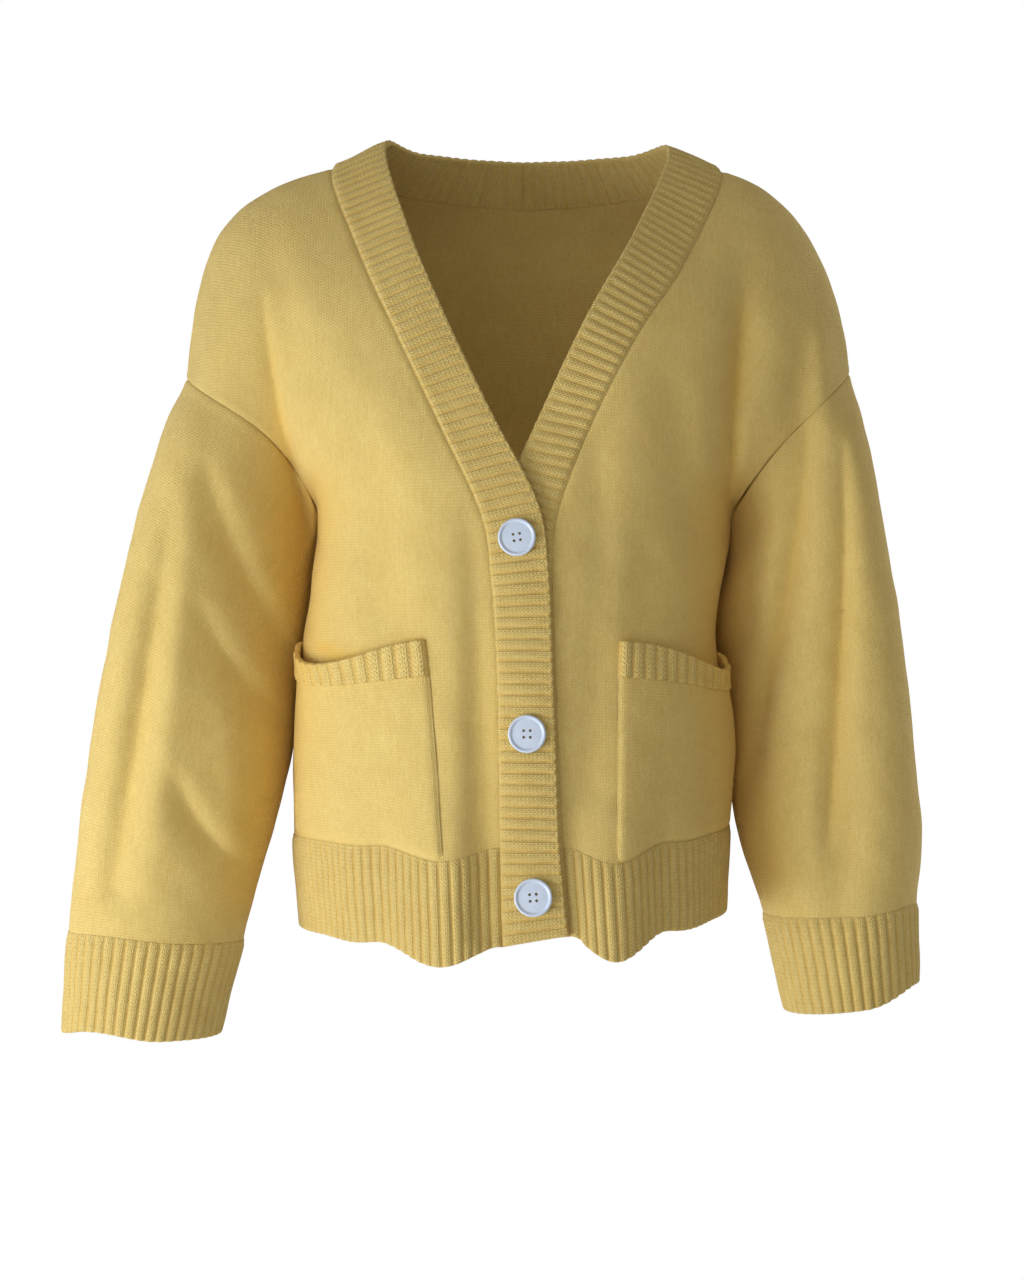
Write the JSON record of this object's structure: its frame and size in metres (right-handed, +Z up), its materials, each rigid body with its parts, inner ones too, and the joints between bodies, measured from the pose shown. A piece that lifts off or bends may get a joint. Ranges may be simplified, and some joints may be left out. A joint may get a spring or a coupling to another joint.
{
  "type": "button cardigan",
  "caption": "Knitted button cardigan in its hollow worn form, with a ribbed front band, patch pockets, ribbed hem and cuffs.",
  "frame": {"origin": "between the two shoulder points, where the neck of the wearer passes through the garment", "axes": "+Z up, -Y towards the front of the garment, +X towards the wearer's left"},
  "size_m": [0.6658, 0.2903, 0.705],
  "materials": {
    "knit": "soft brushed stockinette",
    "rib": "soft ribbing",
    "button": "polished"
  },
  "bodies": {
    "root": {"back": "knit", "front_right": "knit", "front_left": "knit", "sleeve_right": "knit", "sleeve_left": "knit", "pocket_right": "knit", "pocket_left": "knit", "cuff_right": "rib", "cuff_left": "rib", "hem_back": "rib", "hem_front_right": "rib", "hem_front_left": "rib", "band_right": "rib", "band_left": "rib", "pocket_rib_right": "rib", "pocket_rib_left": "rib", "button_top": "button", "button_middle": "button", "button_bottom": "button"}
  },
  "joints": []
}
